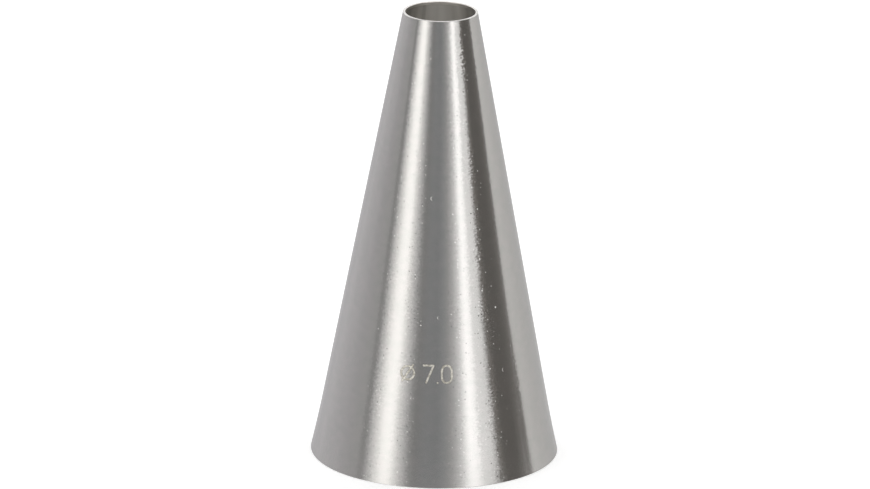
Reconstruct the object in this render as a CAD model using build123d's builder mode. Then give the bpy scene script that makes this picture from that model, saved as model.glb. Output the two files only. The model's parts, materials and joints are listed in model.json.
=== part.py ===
"""Plain round piping nozzle, drawn in one piece from thin stainless sheet.

It stands on its wide end, with the round opening at the top. The wall is a
straight cone of even thickness that runs right up to the opening, which is
reamed to its size from inside, and it flares out a little before its edge at
the base. Both edges are cut square to the axis and deburred.

The frame: the origin is the centre of the base, on the surface that the
nozzle stands on, and +Z runs up the axis to the tip. Lengths are in
millimetres.
"""

import os
from math import asin, atan2, cos, hypot, sin, tan

from build123d import *

# The tip
opening_diameter = 7.0  # the bead that the nozzle pipes
reamed_length = 0.3  # how far down the inside the reamer reaches

# The cone
height = 46.0  # from the base's edge to the tip's
sheet = 0.3  # wall, square to its surface

# The base
base_diameter = 25.0  # over the flare, at the edge
flare_height = 6.0  # where the straight cone starts to open out
flare_out = 0.12  # how far the edge stands out from the cone's line

# The cut edges
edge_break = 0.06  # deburred round on each corner of both edges

# The cone's outside would meet the base here, if it didn't flare
base_radius = base_diameter / 2
foot_radius = base_radius - flare_out

# It leans in to pass the reamed wall's lower edge at one sheet's thickness
opening_radius = opening_diameter / 2
run_in = foot_radius - opening_radius
rise = height - reamed_length
half_angle = atan2(run_in, rise) - asin(sheet / hypot(run_in, rise))
up_the_cone = Vector(-sin(half_angle), cos(half_angle))
tip_radius = foot_radius - height * tan(half_angle)
flare_radius = foot_radius - flare_height * tan(half_angle)

# Waste that the drawn wall has past each edge, until it is trimmed
trimming_waste = 2 * sheet

with BuildPart() as nozzle_cone:
    with BuildSketch(Plane.XZ) as wall_section:
        # The outside of the drawn wall from the tip down, then its thickness
        with BuildLine():
            drawn_tip = Vector(tip_radius, height) + trimming_waste * up_the_cone
            cone = Line(drawn_tip, (flare_radius, flare_height))
            flare = TangentArc(cone @ 1, (base_radius, 0), tangent=cone % 1)
            Line(flare @ 1, flare @ 1 + trimming_waste * (flare % 1))
            offset(amount=sheet, side=Side.RIGHT)
        make_face()

        # Both edges are trimmed square to the axis
        Rectangle(base_diameter, height, align=Align.MIN, mode=Mode.INTERSECT)

        # The opening is reamed, and both edges are deburred
        Rectangle(opening_radius, height, align=Align.MIN, mode=Mode.SUBTRACT)
        levels = wall_section.vertices().group_by(Axis.Y)
        fillet(levels[0] + levels[-1], radius=edge_break)
    revolve(axis=Axis.Z)

nozzle_cone.part.label = "nozzle_cone"

os.makedirs("parts", exist_ok=True)
export_step(nozzle_cone.part, "parts/nozzle_cone.step")

tip_diameter = 2 * tip_radius
wall_volume = nozzle_cone.part.volume
print(f"nozzle_cone: {tip_diameter:.2f} mm over the tip, {wall_volume:.1f} mm3 of sheet")
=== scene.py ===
"""The looks of a plain round piping nozzle, built over its fixed frame.

The nozzle is one cone of thin stainless sheet. Its outside is polished around
the cone, its inside is as drawn, its opening is reamed and both cut edges are
bright. A small mark of the opening's size is etched near the base. It stands
on a white floor inside a ring of light panels, which gives the cone its long
bright and dark bands.

Lengths are in metres and angles in degrees unless a name says otherwise.
Azimuths are counted about the nozzle's axis from the side that faces the
camera, and rise towards the camera's right. A place in the wall's section is
(radius, height), and a facing there is the way that the surface looks, as an
angle up from straight out.
"""

import json
import logging
import math
from dataclasses import dataclass
from enum import Enum
from typing import ClassVar

import bpy
from mathutils import Matrix, Vector


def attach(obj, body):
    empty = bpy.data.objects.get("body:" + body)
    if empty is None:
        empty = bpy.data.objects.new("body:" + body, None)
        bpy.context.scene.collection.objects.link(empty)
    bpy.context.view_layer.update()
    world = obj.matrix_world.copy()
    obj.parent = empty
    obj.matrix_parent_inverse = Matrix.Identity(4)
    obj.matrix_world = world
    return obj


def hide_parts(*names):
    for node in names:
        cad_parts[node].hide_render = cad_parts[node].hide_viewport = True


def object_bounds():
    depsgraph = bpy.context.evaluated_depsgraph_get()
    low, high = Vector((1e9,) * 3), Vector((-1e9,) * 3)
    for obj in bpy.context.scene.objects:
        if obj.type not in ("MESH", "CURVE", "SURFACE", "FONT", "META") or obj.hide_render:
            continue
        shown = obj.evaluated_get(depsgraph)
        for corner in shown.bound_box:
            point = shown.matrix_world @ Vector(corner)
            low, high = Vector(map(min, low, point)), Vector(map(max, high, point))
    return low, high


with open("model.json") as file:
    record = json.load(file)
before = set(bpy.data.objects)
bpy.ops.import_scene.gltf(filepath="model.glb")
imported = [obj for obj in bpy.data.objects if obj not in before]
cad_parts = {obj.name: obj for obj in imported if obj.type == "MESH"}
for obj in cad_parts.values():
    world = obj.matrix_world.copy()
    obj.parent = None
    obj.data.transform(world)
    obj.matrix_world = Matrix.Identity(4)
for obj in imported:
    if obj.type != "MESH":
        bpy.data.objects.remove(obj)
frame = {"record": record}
cad_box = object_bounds()

log = logging.getLogger("piping_nozzle")

MM = 0.001

# Noise mostly stays this close to zero
NOISE_REACH = 0.2

WHITE = (1.0, 1.0, 1.0, 1.0)

Colour = tuple[float, float, float]
Ripples = tuple[float, float, float]
Socket = bpy.types.NodeSocket


class SheetSide(Enum):
    """The four finishes of the sheet, by the number of their material slot."""

    OUTSIDE = 0
    INSIDE = 1
    REAMED = 2
    CUT_EDGE = 3


def opening_size() -> float:
    """Reads the opening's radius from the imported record.

    Returns:
        The radius of the mount at the tip.
    """
    mounts = frame["record"]["mounts"]
    tip = next(mount for mount in mounts if mount["name"] == "tip_opening")
    return tip["dims"]["r_mm"] * MM


def turned(angle: float) -> Vector:
    """Gives the unit direction at an angle up from straight out."""
    a = math.radians(angle)
    return Vector((math.cos(a), math.sin(a)))


def linked(name: str, mesh: bpy.types.Mesh) -> bpy.types.Object:
    """Puts a mesh in the scene.

    Args:
        name: The new object's name.
        mesh: Its mesh, with its place in its points.

    Returns:
        The new object, at the origin.
    """
    made = bpy.data.objects.new(name, mesh)
    bpy.context.scene.collection.objects.link(made)
    return made


class Graph:
    """A node tree that is being written, with short calls for common nodes."""

    def __init__(self, tree: bpy.types.NodeTree) -> None:
        """Empties the tree.

        Args:
            tree: The node tree of a material or of the world.
        """
        self.tree = tree
        tree.nodes.clear()

    def node(self, kind: str, **settings: object) -> bpy.types.Node:
        """Adds a node.

        Args:
            kind: The node's type, without the leading ShaderNode.
            settings: Properties of the node, by name.

        Returns:
            The new node.
        """
        made = self.tree.nodes.new("ShaderNode" + kind)
        for name, value in settings.items():
            setattr(made, name, value)
        return made

    def feed(self, node: bpy.types.Node, *places: object, **names: object) -> bpy.types.Node:
        """Sets or links a node's inputs.

        Args:
            node: The node.
            places: Values or output sockets for its inputs in their order.
            names: The same for inputs by name, with underscores for spaces.

        Returns:
            The same node.
        """
        by_place = dict(enumerate(places))
        by_name = {name.replace("_", " "): value for name, value in names.items()}
        for key, value in (by_place | by_name).items():
            if isinstance(value, Socket):
                self.tree.links.new(value, node.inputs[key])
            else:
                node.inputs[key].default_value = value
        return node

    def math(self, operation: str, *values: object) -> Socket:
        """Adds a Math node and returns its result, for numbers or sockets."""
        return self.feed(self.node("Math", operation=operation), *values).outputs[0]

    def vector(self, operation: str, *values: object) -> Socket:
        """Adds a Vector Math node and returns its vector."""
        return self.feed(self.node("VectorMath", operation=operation), *values).outputs["Vector"]

    def scaled(self, vector: object, factor: object) -> Socket:
        """Returns a vector times a number."""
        made = self.node("VectorMath", operation="SCALE")
        return self.feed(made, vector, Scale=factor).outputs["Vector"]

    def apart(self, here: object, there: object) -> Socket:
        """Returns the distance between two points."""
        return self.feed(self.node("VectorMath", operation="DISTANCE"), here, there).outputs["Value"]

    def place_mm(self) -> Socket:
        """Returns the shaded point in the nozzle's frame, in millimetres."""
        return self.scaled(self.node("TexCoord").outputs["Object"], 1 / MM)

    def ripple(self, place: Socket, per_mm: Ripples, detail: float) -> Socket:
        """Returns smooth noise about zero.

        Args:
            place: The point, in millimetres.
            per_mm: How many ripples there are in a millimetre, along each axis.
            detail: How many finer octaves ride on it.

        Returns:
            A number that mostly lies within NOISE_REACH of zero.
        """
        noise = self.node("TexNoise", noise_dimensions="3D")
        self.feed(noise, Vector=self.vector("MULTIPLY", place, per_mm), Scale=1.0, Detail=detail)
        return self.math("SUBTRACT", noise.outputs[0], 0.5)

    def noise_share(self, noise: Socket, low: float, high: float) -> Socket:
        """Returns noise about zero carried to low..high."""
        return self.held(noise, -NOISE_REACH, NOISE_REACH, low, high)

    def sum(self, *values: object) -> Socket:
        """Returns the sum of two or more numbers or sockets."""
        total = values[0]
        for value in values[1:]:
            total = self.math("ADD", total, value)
        return total

    def held(self, value: Socket, start: float, end: float, low: float, high: float) -> Socket:
        """Returns a value carried smoothly from start..end to low..high, and held there."""
        made = self.node("MapRange", clamp=True, interpolation_type="SMOOTHSTEP")
        return self.feed(made, value, start, end, low, high).outputs["Result"]

    def tinted(self, share: Socket, low: Colour, high: Colour) -> Socket:
        """Returns a colour between two, by a share from 0 to 1."""
        mix = self.node("Mix", data_type="RGBA")
        self.tree.links.new(share, mix.inputs["Factor"])
        mix.inputs[6].default_value = (*low, 1.0)
        mix.inputs[7].default_value = (*high, 1.0)
        return mix.outputs[2]

    def surface(self, shader: bpy.types.Node) -> None:
        """Ends the tree with a shader as its surface."""
        kind = "OutputWorld" if shader.bl_idname == "ShaderNodeBackground" else "OutputMaterial"
        self.feed(self.node(kind), Surface=shader.outputs[0])


def new_material(name: str) -> tuple[bpy.types.Material, Graph]:
    """Makes an empty node material and the graph to write it with."""
    made = bpy.data.materials.new(name)
    made.use_nodes = True
    return made, Graph(made.node_tree)


@dataclass(frozen=True)
class Patch:
    """A soft-edged stretch of the wall, right up the cone, and how strong it is."""

    azimuth: float
    half_width: float
    amount: float

    def cover(self, g: Graph, spoke: Socket) -> Socket:
        """Works out the patch's strength at a point.

        Args:
            g: The material's graph.
            spoke: The direction from the axis to the shaded point.

        Returns:
            The amount in the patch's middle, which fades to nothing at its edges.
        """
        middle, edge = math.radians(self.azimuth), math.radians(self.half_width)
        toward = g.node("VectorMath", operation="DOT_PRODUCT")
        g.feed(toward, spoke, (math.sin(middle), -math.cos(middle), 0.0))
        return g.held(toward.outputs["Value"], math.cos(edge), 1.0, 0.0, self.amount)


@dataclass(frozen=True)
class Strewn:
    """Small marks that are strewn over a surface, each with its own strength."""

    per_mm: float
    reach_mm: float
    rarity: float
    raggedness: float

    def spots(self, g: Graph, place: Socket) -> tuple[Socket, Socket]:
        """Lays out the marks.

        Args:
            g: The material's graph.
            place: The shaded point in millimetres.

        Returns:
            How far the point is in a mark, from 0 at its edge to 1 in its
            middle, and that mark's strength, from -1 to 1 and mostly weak.
        """
        ragged = g.feed(g.node("TexNoise", noise_dimensions="3D"), Vector=place, Scale=1 / self.reach_mm)
        shift = g.vector("SUBTRACT", ragged.outputs["Color"], (0.5, 0.5, 0.5))
        spot = g.vector("ADD", place, g.scaled(shift, self.raggedness * self.reach_mm))
        cells = g.feed(g.node("TexVoronoi", voronoi_dimensions="3D"), Vector=spot, Scale=self.per_mm)
        inside = g.held(cells.outputs["Distance"], 0.0, self.reach_mm * self.per_mm, 1.0, 0.0)
        chance = g.feed(g.node("SeparateColor"), cells.outputs["Color"]).outputs[0]
        sided = g.math("SUBTRACT", g.math("MULTIPLY", chance, 2.0), 1.0)
        strong = g.math("POWER", g.math("ABSOLUTE", sided), self.rarity)
        return inside, g.math("MULTIPLY", strong, g.math("SIGN", sided))


@dataclass(frozen=True)
class Knock:
    """A small facet where the sheet was knocked, a round or the side of one.

    A crescent is what is left of the round once a twin of it, which lies
    sideways of it, is taken away. The facet's tip is above zero where it turns
    the surface to the camera's right.
    """

    azimuth: float
    height_mm: float
    reach_mm: float
    twin_mm: float
    tip: float
    soft_from: float = 0.6

    def cover(self, g: Graph, place: Socket, radius: Socket) -> Socket:
        """Works out the knock's tip at a point.

        Args:
            g: The material's graph.
            place: The shaded point in millimetres.
            radius: How far it lies from the axis.

        Returns:
            The tip, which is zero away from the knock.
        """
        a = math.radians(self.azimuth)
        level = g.scaled((math.sin(a), -math.cos(a), 0.0), radius)
        middle = g.vector("ADD", level, (0.0, 0.0, self.height_mm))
        twin = g.vector("ADD", middle, (self.twin_mm * math.cos(a), self.twin_mm * math.sin(a), 0.0))
        soft = self.soft_from * self.reach_mm
        inside = g.held(g.apart(place, middle), soft, self.reach_mm, self.tip, 0.0)
        kept = g.held(g.apart(place, twin), soft, self.reach_mm, 0.0, 1.0)
        return g.math("MULTIPLY", inside, kept)


@dataclass(frozen=True)
class SpunSteel:
    """The outside of the sheet, polished around the cone.

    The polish runs around, so it blurs a reflection far more up and down than
    sideways. Where a reflection changes fast, small sideways tips of the
    surface show as short streaks and specks. The finest of them are stronger
    near the opening, and towards the base the sheet is a little out of round.
    Its nicks are strewn, but the knocks have places of their own.
    """

    name: str = "spun_steel"
    pale: Colour = (0.592, 0.574, 0.560)
    deep: Colour = (0.570, 0.562, 0.544)
    roughness: float = 0.20
    roughness_change: float = 0.02
    cloud_ripples: Ripples = (0.9, 0.9, 1.4)
    wear_ripples: Ripples = (0.22, 0.22, 0.5)
    foot_roughness: float = 0.065
    foot_height_mm: float = 4.5
    anisotropy: float = 1.0
    turn: float = 0.25
    grain_tip: float = 0.026
    grain_ripples: Ripples = (4.2, 4.2, 5.5)
    uneven_ripples: Ripples = (0.4, 0.4, 0.28)
    least_grain: float = 0.5
    most_grain: float = 1.5
    rubbed: tuple[Patch, ...] = (
        Patch(-33.0, 7.0, 0.008),
        Patch(-13.0, 9.0, 0.004),
        Patch(31.0, 13.0, 0.040),
    )
    crinkled_from_mm: float = 34.0
    crinkled_at_mm: float = 42.0
    crinkle: float = 1.5
    streak_tip: float = 0.010
    streak_ripples: Ripples = (1.0, 1.0, 8.5)
    wave_tip: float = 0.018
    wave_ripples: Ripples = (0.16, 0.16, 0.11)
    out_of_round: tuple[Patch, ...] = (
        Patch(-15.0, 14.0, 0.022),
        Patch(41.0, 24.0, -0.033),
        Patch(47.0, 3.5, 0.028),
        Patch(53.0, 3.5, -0.016),
    )
    bent_below_mm: float = 4.0
    round_from_mm: float = 17.0
    nicks: Strewn = Strewn(per_mm=3.3, reach_mm=0.09, rarity=2.6, raggedness=2.0)
    nick_tip: float = 0.05
    scuffed: tuple[Patch, ...] = (
        Patch(-34.0, 9.0, 0.18),
        Patch(-14.0, 10.0, 0.20),
        Patch(14.0, 9.0, 0.18),
        Patch(34.0, 13.0, 0.34),
    )
    dents: Strewn = Strewn(per_mm=0.55, reach_mm=0.2, rarity=3.0, raggedness=0.6)
    dent_depth: float = 0.02 * MM
    knocks: tuple[Knock, ...] = (
        Knock(-4.2, 28.62, 0.30, 0.17, -0.18),
        Knock(1.6, 16.87, 0.19, 0.09, 0.23),
        Knock(40.5, 17.35, 0.12, 0.30, -0.30),
        Knock(41.8, 11.05, 0.31, 0.11, -0.22),
    )

    def facing(self, g: Graph, place: Socket) -> Socket:
        """Works out the surface's normal with its grain, streaks, marks and dents.

        Args:
            g: The material's graph.
            place: The shaded point in millimetres.

        Returns:
            The normal.
        """
        normal = g.node("NewGeometry").outputs["Normal"]
        around = g.vector("CROSS_PRODUCT", (0.0, 0.0, 1.0), normal)
        up = g.feed(g.node("SeparateXYZ"), place).outputs["Z"]
        flat = g.vector("MULTIPLY", place, (1.0, 1.0, 0.0))
        spoke = g.vector("NORMALIZE", flat)
        radius = g.apart(flat, (0.0, 0.0, 0.0))

        # The grain, which is stronger in places, where the sheet was rubbed and near the opening
        grain = g.ripple(place, self.grain_ripples, 0.0)
        uneven = g.noise_share(g.ripple(place, self.uneven_ripples, 0.0), self.least_grain, self.most_grain)
        rubs = g.sum(self.grain_tip, *(patch.cover(g, spoke) for patch in self.rubbed))
        crinkle = g.held(up, self.crinkled_from_mm, self.crinkled_at_mm, 1.0, self.crinkle)
        rough = g.math("MULTIPLY", g.math("MULTIPLY", grain, rubs), g.math("MULTIPLY", uneven, crinkle))

        # The streaks that the polish left, and slow waves
        streaks = g.math("MULTIPLY", g.ripple(place, self.streak_ripples, 0.0), self.streak_tip)
        waves = g.math("MULTIPLY", g.ripple(place, self.wave_ripples, 0.0), self.wave_tip)

        # Where the base isn't round
        bends = g.sum(*(patch.cover(g, spoke) for patch in self.out_of_round))
        bent = g.math("MULTIPLY", bends, g.held(up, self.bent_below_mm, self.round_from_mm, 1.0, 0.0))

        # The nicks, which are deeper where the sheet was scuffed, and the knocks
        nicked = g.math("MULTIPLY", *self.nicks.spots(g, place))
        scuffs = g.sum(self.nick_tip, *(patch.cover(g, spoke) for patch in self.scuffed))
        knocked = g.sum(*(knock.cover(g, place, radius) for knock in self.knocks))
        tip = g.sum(rough, streaks, waves, bent, g.math("MULTIPLY", nicked, scuffs), knocked)
        tipped = g.vector("NORMALIZE", g.vector("ADD", normal, g.scaled(around, tip)))

        # The dents are the only marks with a height
        height = g.math("MULTIPLY", *self.dents.spots(g, place))
        bump = g.feed(g.node("Bump"), Strength=1.0, Distance=self.dent_depth, Height=height, Normal=tipped)
        return bump.outputs["Normal"]

    def material(self) -> bpy.types.Material:
        """Builds the material.

        Returns:
            The material, with a principled shader as its surface.
        """
        made, g = new_material(self.name)
        place = g.place_mm()
        tone = g.noise_share(g.ripple(place, self.cloud_ripples, 1.0), 0.0, 1.0)
        wear = g.ripple(place, self.wear_ripples, 1.0)
        up = g.feed(g.node("SeparateXYZ"), place).outputs["Z"]
        roughness = g.sum(
            g.held(up, 0.0, self.foot_height_mm, self.roughness + self.foot_roughness, self.roughness),
            g.math("MULTIPLY", wear, self.roughness_change),
        )
        shader = g.feed(
            g.node("BsdfPrincipled"),
            Base_Color=g.tinted(tone, self.deep, self.pale),
            Metallic=1.0,
            Roughness=roughness,
            Anisotropic=self.anisotropy,
            Anisotropic_Rotation=self.turn,
            Tangent=g.node("Tangent", direction_type="RADIAL", axis="Z").outputs["Tangent"],
            Normal=self.facing(g, place),
        )
        g.surface(shader)
        return made


@dataclass(frozen=True)
class DrawnSteel:
    """The inside of the sheet, as drawn, with soft streaks that run up it, and with darker and lighter bands
    painted into its colour as shade and reflection.
    """

    name: str = "drawn_steel"
    pale: Colour = (0.745, 0.730, 0.705)
    deep: Colour = (0.660, 0.645, 0.620)
    roughness: float = 0.36
    line_tip: float = 0.05
    streaks_around: float = 3.1
    lines_around: float = 26.0
    change_per_mm: float = 0.12
    # Darker and lighter bands up the inside at given azimuths: painted shade and painted reflection
    marks: tuple[Patch, ...] = (
        Patch(-153.0, 4.5, -0.22),
        Patch(-137.0, 6.0, -0.10),
        Patch(160.0, 4.0, -0.07),
        Patch(144.0, 11.0, 0.12),
        Patch(119.0, 12.0, 0.14),
    )

    def material(self) -> bpy.types.Material:
        """Builds the material.

        Returns:
            The material, with a principled shader as its surface.
        """
        made, g = new_material(self.name)
        place = g.place_mm()
        flat = g.vector("MULTIPLY", place, (1.0, 1.0, 0.0))
        spoke = g.vector("NORMALIZE", flat)
        rise = g.vector("MULTIPLY", place, (0.0, 0.0, self.change_per_mm))
        streaks = g.ripple(g.vector("ADD", g.scaled(spoke, self.streaks_around), rise), (1.0, 1.0, 1.0), 2.0)
        lines = g.ripple(g.vector("ADD", g.scaled(spoke, self.lines_around), rise), (1.0, 1.0, 1.0), 1.0)
        normal = g.node("NewGeometry").outputs["Normal"]
        around = g.vector("CROSS_PRODUCT", (0.0, 0.0, 1.0), normal)
        tip = g.scaled(around, g.math("MULTIPLY", lines, self.line_tip))
        tipped = g.vector("NORMALIZE", g.vector("ADD", normal, tip))
        # The bands scale the inside's colour, which paints shade and reflection into it
        kept = g.sum(1.0, *(mark.cover(g, spoke) for mark in self.marks))
        colour = g.tinted(g.noise_share(streaks, 0.0, 1.0), self.deep, self.pale)
        shader = g.feed(
            g.node("BsdfPrincipled"),
            Base_Color=g.scaled(colour, kept),
            Metallic=1.0,
            Roughness=self.roughness,
            Normal=tipped,
        )
        g.surface(shader)
        return made


@dataclass(frozen=True)
class CutSteel:
    """Bare steel that a tool has cut, with its fine rings around the axis."""

    name: str
    pale: Colour
    deep: Colour
    roughness: float
    ring_tip: float = 0.12
    ring_ripples: Ripples = (1.1, 1.1, 16.0)
    cloud_ripples: Ripples = (3.0, 3.0, 3.0)

    def material(self) -> bpy.types.Material:
        """Builds the material.

        Returns:
            The material, with a principled shader as its surface.
        """
        made, g = new_material(self.name)
        place = g.place_mm()
        rings = g.ripple(place, self.ring_ripples, 1.0)
        clouds = g.ripple(place, self.cloud_ripples, 1.0)
        normal = g.node("NewGeometry").outputs["Normal"]
        tip = g.scaled((0.0, 0.0, 1.0), g.math("MULTIPLY", rings, self.ring_tip))
        tipped = g.vector("NORMALIZE", g.vector("ADD", normal, tip))
        shader = g.feed(
            g.node("BsdfPrincipled"),
            Base_Color=g.tinted(g.noise_share(clouds, 0.0, 1.0), self.deep, self.pale),
            Metallic=1.0,
            Roughness=self.roughness,
            Normal=tipped,
        )
        g.surface(shader)
        return made


@dataclass(frozen=True)
class EtchedFrost:
    """Steel that has been etched to a pale, uneven frost with a darker rim."""

    name: str = "etched_frost"
    pale: Colour = (0.92, 0.89, 0.81)
    deep: Colour = (0.60, 0.57, 0.50)
    roughness: float = 0.58
    grain_height: float = 0.006 * MM
    grain_ripples: Ripples = (9.0, 9.0, 9.0)
    cloud_ripples: Ripples = (4.0, 4.0, 4.0)
    cloud_reach: float = 0.15
    rim_width: float = 0.05 * MM
    rim_share: float = 0.45

    def material(self) -> bpy.types.Material:
        """Builds the material.

        Returns:
            The material, with a principled shader as its surface.
        """
        made, g = new_material(self.name)
        place = g.place_mm()
        grain = g.ripple(place, self.grain_ripples, 2.0)
        clouds = g.ripple(place, self.cloud_ripples, 1.0)
        tone = g.held(clouds, -self.cloud_reach, self.cloud_reach, 0.0, 1.0)
        bump = g.feed(g.node("Bump"), Strength=1.0, Distance=self.grain_height, Height=grain)
        inward = g.node("Attribute", attribute_name=SizeMark.inward).outputs["Fac"]
        rim = g.held(inward, 0.0, self.rim_width, self.rim_share, 1.0)
        shader = g.feed(
            g.node("BsdfPrincipled"),
            Base_Color=g.scaled(g.tinted(tone, self.deep, self.pale), rim),
            Metallic=1.0,
            Roughness=self.roughness,
            Normal=bump.outputs["Normal"],
        )
        g.surface(shader)
        return made


@dataclass(frozen=True)
class WallPoint:
    """A point of the wall's section, with the way that the surface faces there."""

    place: Vector
    facing: Vector


@dataclass(frozen=True)
class WallRun:
    """A smooth stretch of the wall's section with one finish."""

    side: SheetSide
    points: tuple[WallPoint, ...]

    @staticmethod
    def straight(side: SheetSide, start: Vector, end: Vector, facing: float, steps: int) -> "WallRun":
        """Makes a straight run.

        Args:
            side: The run's finish.
            start: Its first place in the section.
            end: Its last place.
            facing: The way that it faces.
            steps: How many faces it has.

        Returns:
            The run.
        """
        out = turned(facing)
        return WallRun(side, tuple(WallPoint(start.lerp(end, i / steps), out) for i in range(steps + 1)))

    @staticmethod
    def bent(
        side: SheetSide, centre: Vector, radius: float, start: float, end: float, steps: int
    ) -> "WallRun":
        """Makes a run along an arc.

        Args:
            side: The run's finish.
            centre: The arc's centre in the section.
            radius: Its radius, less than zero on a run that bends outward.
            start: The way that it faces at first.
            end: The way that it faces at last.
            steps: How many faces it has.

        Returns:
            The run.
        """
        facings = [turned(start + (end - start) * i / steps) for i in range(steps + 1)]
        return WallRun(side, tuple(WallPoint(centre + radius * out, out) for out in facings))


@dataclass
class NozzleShell:
    """The cone of sheet, turned about the axis from its wall's section."""

    opening_radius: float
    height: float
    reamed_length: float = 0.3 * MM
    sheet: float = 0.3 * MM
    base_radius: float = 12.5 * MM
    flare_height: float = 6.0 * MM
    flare_out: float = 0.12 * MM
    edge_break: float = 0.06 * MM
    turns: int = 360
    cone_steps: int = 40
    flare_steps: int = 12
    round_steps: int = 5

    @property
    def foot_radius(self) -> float:
        """The radius that the straight cone would reach at the base."""
        return self.base_radius - self.flare_out

    @property
    def lean(self) -> float:
        """How far the cone's wall leans in, which is also how far up its outside faces."""
        run_in = self.foot_radius - self.opening_radius
        rise = self.height - self.reamed_length
        return math.degrees(math.atan2(run_in, rise) - math.asin(self.sheet / math.hypot(run_in, rise)))

    def outside_at(self, up: float) -> Vector:
        """Gives the place on the straight cone's outside at a height."""
        return Vector((self.foot_radius - up * math.tan(math.radians(self.lean)), up))

    def runs(self) -> list[WallRun]:
        """Works out the wall's section, up the outside and down the inside.

        Returns:
            The runs in order, each starting where the one before it ends.
        """
        out = turned(self.lean)
        soft = self.edge_break

        # The flare is an arc that leaves the cone smoothly and meets the base's edge
        flare_top = self.outside_at(self.flare_height)
        chord = Vector((self.base_radius, 0.0)) - flare_top
        bend = chord.length_squared / (2 * chord.dot(out))
        pivot = flare_top + out * bend
        outer_end = math.degrees(math.asin((pivot.y - soft) / (bend + soft)))
        inner_end = math.degrees(math.asin((pivot.y - soft) / (bend + self.sheet - soft)))
        outer_foot = pivot - turned(outer_end) * (bend + soft)
        inner_foot = pivot - turned(inner_end) * (bend + self.sheet - soft)

        # The rounds at the tip
        outer_lip = self.outside_at(self.height - soft) - Vector((soft / out.x, 0.0))
        inner_lip = Vector((self.opening_radius + soft, self.height - soft))
        up = Vector((0.0, soft))
        reamed_foot = Vector((self.opening_radius, self.height - self.reamed_length))
        inward = 180 + self.lean
        return [
            WallRun.bent(SheetSide.CUT_EDGE, outer_foot, soft, -90, outer_end, self.round_steps),
            WallRun.bent(SheetSide.OUTSIDE, pivot, -bend, outer_end, self.lean, self.flare_steps),
            WallRun.straight(
                SheetSide.OUTSIDE, flare_top, outer_lip + out * soft, self.lean, self.cone_steps
            ),
            WallRun.bent(SheetSide.CUT_EDGE, outer_lip, soft, self.lean, 90, self.round_steps),
            WallRun.straight(SheetSide.CUT_EDGE, outer_lip + up, inner_lip + up, 90, 1),
            WallRun.bent(SheetSide.REAMED, inner_lip, soft, 90, 180, self.round_steps),
            WallRun.straight(SheetSide.REAMED, inner_lip + turned(180) * soft, reamed_foot, 180, 2),
            WallRun.straight(
                SheetSide.INSIDE, reamed_foot, flare_top - out * self.sheet, inward, self.cone_steps
            ),
            WallRun.bent(
                SheetSide.INSIDE, pivot, bend + self.sheet, inward, 180 + inner_end, self.flare_steps
            ),
            WallRun.bent(SheetSide.CUT_EDGE, inner_foot, soft, 180 + inner_end, 270, self.round_steps),
            WallRun.straight(SheetSide.CUT_EDGE, inner_foot - up, outer_foot - up, 270, 1),
        ]

    def build(self) -> bpy.types.Object:
        """Turns the section into a closed surface with exact normals.

        Returns:
            The shell, with a material slot's number on each face.
        """
        runs = self.runs()
        ring = [point.place for run in runs for point in run.points[:-1]]
        spokes = [math.tau * i / self.turns for i in range(self.turns)]
        verts = [(p.x * math.cos(a), p.x * math.sin(a), p.y) for a in spokes for p in ring]
        faces: list[tuple[int, int, int, int]] = []
        slots: list[int] = []
        normals: list[tuple[float, float, float]] = []
        for i, a in enumerate(spokes):
            j = (i + 1) % self.turns
            k = 0
            for run in runs:
                for low, high in zip(run.points, run.points[1:]):
                    m = (k + 1) % len(ring)
                    here, ahead = i * len(ring), j * len(ring)
                    faces.append((here + k, ahead + k, ahead + m, here + m))
                    slots.append(run.side.value)
                    for point, spoke in ((low, i), (low, i + 1), (high, i + 1), (high, i)):
                        b = math.tau * spoke / self.turns
                        out = point.facing
                        normals.append((out.x * math.cos(b), out.x * math.sin(b), out.y))
                    k += 1
        mesh = bpy.data.meshes.new("nozzle_shell")
        mesh.from_pydata(verts, [], faces)
        mesh.polygons.foreach_set("material_index", slots)
        mesh.polygons.foreach_set("use_smooth", [True] * len(faces))
        mesh.normals_split_custom_set(normals)
        return linked("nozzle_shell", mesh)

    def dress(self, shell: bpy.types.Object) -> None:
        """Gives each side of the sheet its finish.

        Args:
            shell: The built shell.
        """
        finishes = {
            SheetSide.OUTSIDE: SpunSteel(),
            SheetSide.INSIDE: DrawnSteel(),
            SheetSide.REAMED: CutSteel(
                "reamed_steel", pale=(0.92, 0.885, 0.845), deep=(0.85, 0.815, 0.775), roughness=0.34
            ),
            SheetSide.CUT_EDGE: CutSteel(
                "cut_edge_steel", pale=(0.68, 0.67, 0.65), deep=(0.58, 0.57, 0.55), roughness=0.29
            ),
        }
        for side in SheetSide:
            shell.data.materials.append(finishes[side].material())


@dataclass(frozen=True)
class Stroke:
    """A line of the etched mark, drawn with a round nib."""

    points: tuple[Vector, ...]

    @staticmethod
    def loop(centre: Vector, half_width: float, half_height: float, squareness: float) -> "Stroke":
        """Makes a closed round, from a circle to a box with round corners.

        Args:
            centre: The middle of the round.
            half_width: Half its width.
            half_height: Half its height.
            squareness: The power of its curve, 2 for an ellipse.

        Returns:
            The stroke.
        """
        steps = 48
        points = []
        for i in range(steps + 1):
            c, s = math.cos(math.tau * i / steps), math.sin(math.tau * i / steps)
            x = math.copysign(abs(c) ** (2 / squareness), c)
            y = math.copysign(abs(s) ** (2 / squareness), s)
            points.append(centre + Vector((x * half_width, y * half_height)))
        return Stroke(tuple(points))

    def distance(self, place: Vector) -> float:
        """Measures how far a place is from the stroke's middle line.

        Args:
            place: The place, in the mark's own plane.

        Returns:
            The distance.
        """
        if len(self.points) == 1:
            return (place - self.points[0]).length
        best = math.inf
        for start, end in zip(self.points, self.points[1:]):
            along = end - start
            share = min(max((place - start).dot(along) / along.length_squared, 0.0), 1.0)
            best = min(best, (place - start - share * along).length)
        return best


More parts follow.
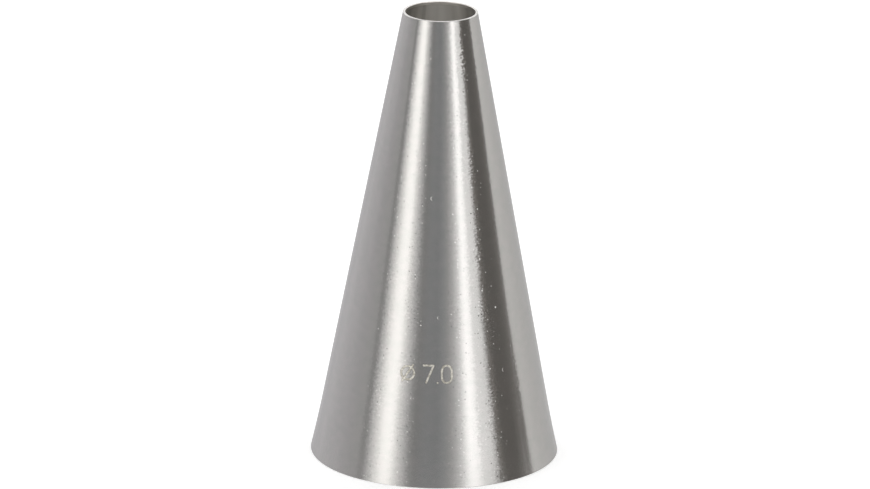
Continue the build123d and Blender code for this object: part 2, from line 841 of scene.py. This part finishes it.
@dataclass
class SizeMark:
    """The opening's size in millimetres, etched on the cone after a crossed ring.

    Each point of its mesh knows how far it lies inside the mark's outline.
    """

    inward: ClassVar[str] = "inward"
    cone: NozzleShell
    foot: float = 10.45 * MM
    azimuth: float = -5.5
    letter_height: float = 1.72 * MM
    width_share: float = 0.58
    ring_share: float = 0.39
    slash_way: tuple[float, float] = (0.62, 1.0)
    slash_share: float = 0.56
    seven_foot_share: float = 0.3
    nought_squareness: float = 2.7
    margin_share: float = 0.1
    nib: float = 0.23 * MM
    gap: float = 0.42 * MM
    word_gap: float = 0.75 * MM
    proud: float = 0.008 * MM
    sunk: float = 0.03 * MM
    cell: float = 0.04 * MM

    def strokes(self) -> tuple[list[Stroke], float]:
        """Draws the mark in its own plane, from its left end and its foot.

        Returns:
            The strokes, and how long the mark is.
        """
        tall = self.letter_height
        middle = tall / 2
        drawn: list[Stroke] = []

        # The crossed ring that stands for a diameter
        ring = self.ring_share * tall
        centre = Vector((middle, middle))
        slash = Vector(self.slash_way).normalized() * self.slash_share * tall
        drawn.append(Stroke.loop(centre, ring, ring, 2.0))
        drawn.append(Stroke((centre - slash, centre + slash)))
        x = tall + self.word_gap

        # A seven
        wide = self.width_share * tall
        seven_foot = Vector((x + self.seven_foot_share * wide, 0.0))
        drawn.append(Stroke((Vector((x, tall)), Vector((x + wide, tall)), seven_foot)))
        x += wide + self.gap

        # A point
        drawn.append(Stroke((Vector((x, 0.0)),)))
        x += self.gap

        # A nought
        centre = Vector((x + wide / 2, middle))
        drawn.append(Stroke.loop(centre, wide / 2, middle, self.nought_squareness))
        return drawn, x + wide

    def wrapped(self, flat: Vector, length: float, lift: float) -> Vector:
        """Lays a point of the mark's plane on the cone.

        Args:
            flat: The point in the mark's plane.
            length: How long the mark is.
            lift: How far the point lies outside the sheet's surface.

        Returns:
            The point in the nozzle's frame.
        """
        lean = math.radians(self.cone.lean)
        up = self.foot + flat.y * math.cos(lean)
        on_cone = self.cone.outside_at(up) + turned(self.cone.lean) * lift
        middle = self.cone.outside_at(self.foot + self.letter_height / 2).x
        a = math.radians(self.azimuth) + (flat.x - length / 2) / middle
        return Vector((on_cone.x * math.sin(a), -on_cone.x * math.cos(a), on_cone.y))

    def build(self) -> bpy.types.Object:
        """Cuts the mark from a fine grid along its outline and lays it on the cone.

        Returns:
            The mark, a thin closed shell.
        """
        strokes, length = self.strokes()
        edge = self.nib / 2 + self.cell
        margin = self.margin_share * self.letter_height
        low = Vector((-edge, -edge - margin))
        columns = math.ceil((length + 2 * edge) / self.cell)
        rows = math.ceil((self.letter_height + 2 * margin + 2 * edge) / self.cell)
        spots: dict[tuple[int, int], tuple[Vector, float]] = {}
        for i in range(columns + 1):
            for j in range(rows + 1):
                spot = low + Vector((i, j)) * self.cell
                depth = self.nib / 2 - min(stroke.distance(spot) for stroke in strokes)
                spots[i, j] = (spot, depth)

        flat: list[Vector] = []
        depths: list[float] = []
        numbers: dict[object, int] = {}

        def number(key: object, place: Vector, depth: float) -> int:
            """Gives a point's number, adding it the first time."""
            if key not in numbers:
                numbers[key] = len(flat)
                flat.append(place)
                depths.append(depth)
            return numbers[key]

        plates: list[list[int]] = []
        for i in range(columns):
            for j in range(rows):
                corners = [(i, j), (i + 1, j), (i + 1, j + 1), (i, j + 1)]
                plate: list[int] = []
                for here, ahead in zip(corners, corners[1:] + corners[:1]):
                    (spot, depth), (spot_ahead, depth_ahead) = spots[here], spots[ahead]
                    if depth > 0:
                        plate.append(number(here, spot, depth))
                    if (depth > 0) != (depth_ahead > 0):
                        share = depth / (depth - depth_ahead)
                        plate.append(number(frozenset((here, ahead)), spot.lerp(spot_ahead, share), 0.0))
                if len(plate) > 2:
                    plates.append(plate)

        # The plates make the face, their copies below the surface make the back
        count = len(flat)
        verts = [self.wrapped(p, length, self.proud) for p in flat]
        verts += [self.wrapped(p, length, -self.sunk) for p in flat]
        faces = [tuple(plate) for plate in plates]
        faces += [tuple(n + count for n in reversed(plate)) for plate in plates]
        ways = {pair for plate in plates for pair in zip(plate, plate[1:] + plate[:1])}
        rims = sorted((a, b) for a, b in ways if (b, a) not in ways)
        faces += [(b, a, a + count, b + count) for a, b in rims]
        mesh = bpy.data.meshes.new("size_mark")
        mesh.from_pydata(verts, [], faces)
        mesh.attributes.new(self.inward, "FLOAT", "POINT").data.foreach_set("value", depths + depths)
        return linked("size_mark", mesh)

    def dress(self, mark: bpy.types.Object) -> None:
        """Gives the mark its frosted finish.

        Args:
            mark: The built mark.
        """
        mark.data.materials.append(EtchedFrost().material())


@dataclass(frozen=True)
class LightStop:
    """How bright the ring of panels is at one azimuth, and its tint."""

    azimuth: float
    level: float
    tint: Colour = (1.0, 1.0, 1.0)


COOL: Colour = (0.975, 1.0, 1.025)
ROSE: Colour = (1.010, 1.0, 1.028)
CREAM: Colour = (1.004, 1.0, 0.987)
WARM: Colour = (1.055, 1.0, 0.945)


@dataclass
class Studio:
    """The white floor, the light panels round and over the nozzle, and the world."""

    ring_radius: float = 0.45
    ring_low: float = -0.5
    ring_high: float = 0.5
    top_height: float = 0.6
    top_radius: float = 0.42
    top_level: float = 0.8
    rear_level: float = 1.35
    rear_foot: float = 0.15
    rear_reach: float = 75.0
    world_level: float = 1.0
    world_in_steel: float = 0.76
    floor_reach: float = 4.0
    floor_white: float = 0.36
    floor_tone: float = 0.9
    stops: tuple[LightStop, ...] = (
        LightStop(-180, 0.66),
        LightStop(-165, 0.62, ROSE),
        LightStop(-152, 0.585, ROSE),
        LightStop(-135, 0.645, ROSE),
        LightStop(-118, 0.585, ROSE),
        LightStop(-98, 0.505, ROSE),
        LightStop(-80, 0.475),
        LightStop(-76, 0.46),
        LightStop(-73.5, 0.36),
        LightStop(-70.5, 0.355),
        LightStop(-68, 0.46),
        LightStop(-64, 0.78),
        LightStop(-58, 1.16, CREAM),
        LightStop(-51.5, 1.60, CREAM),
        LightStop(-45, 1.70, CREAM),
        LightStop(-40, 1.58, CREAM),
        LightStop(-35, 1.10, CREAM),
        LightStop(-29, 0.74),
        LightStop(-22, 0.38),
        LightStop(-17, 0.30),
        LightStop(-8, 0.32, COOL),
        LightStop(2, 0.305, COOL),
        LightStop(9, 0.36, COOL),
        LightStop(15, 0.44),
        LightStop(21, 0.62),
        LightStop(28, 0.99),
        LightStop(32, 1.48),
        LightStop(36, 1.80),
        LightStop(41.5, 1.66),
        LightStop(45, 1.22),
        LightStop(54.5, 1.10),
        LightStop(57, 0.86),
        LightStop(61, 0.27, WARM),
        LightStop(68, 0.155, WARM),
        LightStop(80, 0.148, WARM),
        LightStop(90, 0.165, WARM),
        LightStop(96.5, 0.20, WARM),
        LightStop(98.5, 0.70, CREAM),
        LightStop(104, 0.74, CREAM),
        LightStop(127, 0.65, CREAM),
        LightStop(150, 0.58),
        LightStop(165, 0.61),
        LightStop(180, 0.66),
    )

    def ring_light(self, azimuth: float, height: float) -> Colour:
        """Works out the ring's light at a place.

        Args:
            azimuth: The place's azimuth.
            height: Its height over the floor.

        Returns:
            The light's colour times its level.
        """
        after = next(i for i, stop in enumerate(self.stops) if stop.azimuth >= azimuth)
        low, high = self.stops[max(after - 1, 0)], self.stops[after]
        span = high.azimuth - low.azimuth
        share = (azimuth - low.azimuth) / span if span else 0.0
        light = [
            (1 - share) * low.level * a + share * high.level * b for a, b in zip(low.tint, high.tint)
        ]
        if height > self.rear_foot and 180 - abs(azimuth) < self.rear_reach:
            light = [max(value, self.rear_level) for value in light]
        return tuple(light)

    def ring(self) -> bpy.types.Object:
        """Builds the ring of panels, lit by the light at each of its points.

        Returns:
            The ring, which the camera doesn't see.
        """
        heights = (self.ring_low, self.rear_foot, self.rear_foot + MM, self.ring_high)
        steps = 720
        verts = []
        lights = []
        for i in range(steps + 1):
            azimuth = 360 * i / steps - 180
            a = math.radians(azimuth)
            for up in heights:
                verts.append((self.ring_radius * math.sin(a), -self.ring_radius * math.cos(a), up))
                lights.extend((*self.ring_light(azimuth, up), 1.0))
        tall = len(heights)
        faces = [
            (i * tall + k, (i + 1) * tall + k, (i + 1) * tall + k + 1, i * tall + k + 1)
            for i in range(steps)
            for k in range(tall - 1)
        ]
        mesh = bpy.data.meshes.new("studio_ring")
        mesh.from_pydata(verts, [], faces)
        mesh.color_attributes.new("light", "FLOAT_COLOR", "POINT").data.foreach_set("color", lights)
        made, g = new_material("studio_ring")
        light = g.node("Attribute", attribute_name="light")
        g.surface(g.feed(g.node("Emission"), Color=light.outputs["Color"], Strength=1.0))
        return self.hung("studio_ring", mesh, made)

    def top(self) -> bpy.types.Object:
        """Builds the panel over the nozzle.

        Returns:
            The panel, which the camera doesn't see.
        """
        sides = 48
        spokes = [math.tau * i / sides for i in range(sides)]
        reach, up = self.top_radius, self.top_height
        verts = [(reach * math.cos(a), reach * math.sin(a), up) for a in spokes]
        mesh = bpy.data.meshes.new("studio_top")
        mesh.from_pydata(verts, [], [tuple(range(sides))])
        made, g = new_material("studio_top")
        g.surface(g.feed(g.node("Emission"), Color=WHITE, Strength=self.top_level))
        return self.hung("studio_top", mesh, made)

    def hung(self, name: str, mesh: bpy.types.Mesh, glow: bpy.types.Material) -> bpy.types.Object:
        """Hangs a panel where it lights the nozzle and the camera doesn't see it.

        Args:
            name: The panel's name.
            mesh: Its mesh.
            glow: Its material.

        Returns:
            The panel, which the camera doesn't see and which casts no shadow.
        """
        mesh.materials.append(glow)
        panel = linked(name, mesh)
        panel.visible_camera = False
        panel.visible_shadow = False
        return panel

    def floor(self) -> bpy.types.Object:
        """Builds the white floor, which keeps the nozzle's shadow.

        Returns:
            The floor.
        """
        reach = self.floor_reach
        corners = [(-reach, -reach, 0), (reach, -reach, 0), (reach, reach, 0), (-reach, reach, 0)]
        mesh = bpy.data.meshes.new("studio_floor")
        mesh.from_pydata(corners, [], [(0, 1, 2, 3)])
        made, g = new_material("studio_floor")
        seen = g.math("MULTIPLY", g.node("LightPath").outputs["Is Camera Ray"], self.floor_white)
        white = g.feed(g.node("Emission"), Color=WHITE, Strength=seen)
        tone = self.floor_tone
        paper = g.feed(g.node("BsdfDiffuse"), Color=(tone, tone, tone, 1.0))
        g.surface(g.feed(g.node("AddShader"), paper.outputs[0], white.outputs[0]))
        mesh.materials.append(made)
        floor = linked("studio_floor", mesh)
        floor.visible_glossy = False
        return floor

    def world(self) -> None:
        """Lights the world with white, which is dimmer where the steel reflects it."""
        world = bpy.data.worlds.new("studio_world")
        bpy.context.scene.world = world
        world.use_nodes = True
        g = Graph(world.node_tree)
        in_steel = g.node("LightPath").outputs["Is Glossy Ray"]
        level = g.held(in_steel, 0.0, 1.0, self.world_level, self.world_in_steel)
        g.surface(g.feed(g.node("Background"), Color=WHITE, Strength=level))


@dataclass
class PhotoCamera:
    """The camera at the photograph's angle."""

    elevation: float = 17.71
    distance: float = 0.8
    roll: float = 0.84
    aim: Vector = Vector((-0.204 * MM, 0.0, 21.607 * MM))
    lens: float = 329.28
    sensor: float = 36.0
    nearest: float = 0.05
    farthest: float = 20.0

    def build(self) -> bpy.types.Object:
        """Makes the camera and sets the scene's plain view.

        Returns:
            The camera.
        """
        data = bpy.data.cameras.new("photo_camera")
        data.lens = self.lens
        data.sensor_width = self.sensor
        data.clip_start = self.nearest
        data.clip_end = self.farthest
        made = bpy.data.objects.new("photo_camera", data)
        bpy.context.scene.collection.objects.link(made)
        out = turned(self.elevation)
        back = Vector((0.0, -out.x, out.y))
        tilt = Matrix.Rotation(math.radians(self.roll), 4, back)
        level = tilt @ Vector((1.0, 0.0, 0.0))
        upright = back.cross(level)
        place = self.aim + self.distance * back
        turn = Matrix((level, upright, back)).transposed().to_4x4()
        made.matrix_world = Matrix.Translation(place) @ turn
        bpy.context.scene.camera = made
        bpy.context.scene.view_settings.view_transform = "Standard"
        return made


def report(piece: bpy.types.Object, slot: str) -> None:
    """Sends a piece's name, its number of faces and a given label to the log."""
    log.info("%s: %d faces, slot %s", piece.name, len(piece.data.polygons), slot)


def main() -> None:
    """Builds the nozzle, its mark and its studio."""
    logging.basicConfig(level=logging.INFO)
    PhotoCamera().build()

    cone = NozzleShell(opening_radius=opening_size(), height=cad_box[1][2])
    shell = cone.build()
    cone.dress(shell)
    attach(shell, "root")
    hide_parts("nozzle_cone")
    report(shell, "stainless_sheet")

    etching = SizeMark(cone)
    mark = etching.build()
    etching.dress(mark)
    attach(mark, "root")
    report(mark, "etched_mark")

    studio = Studio()
    studio.ring()
    studio.top()
    studio.floor()
    studio.world()


if __name__ == "__main__":
    main()
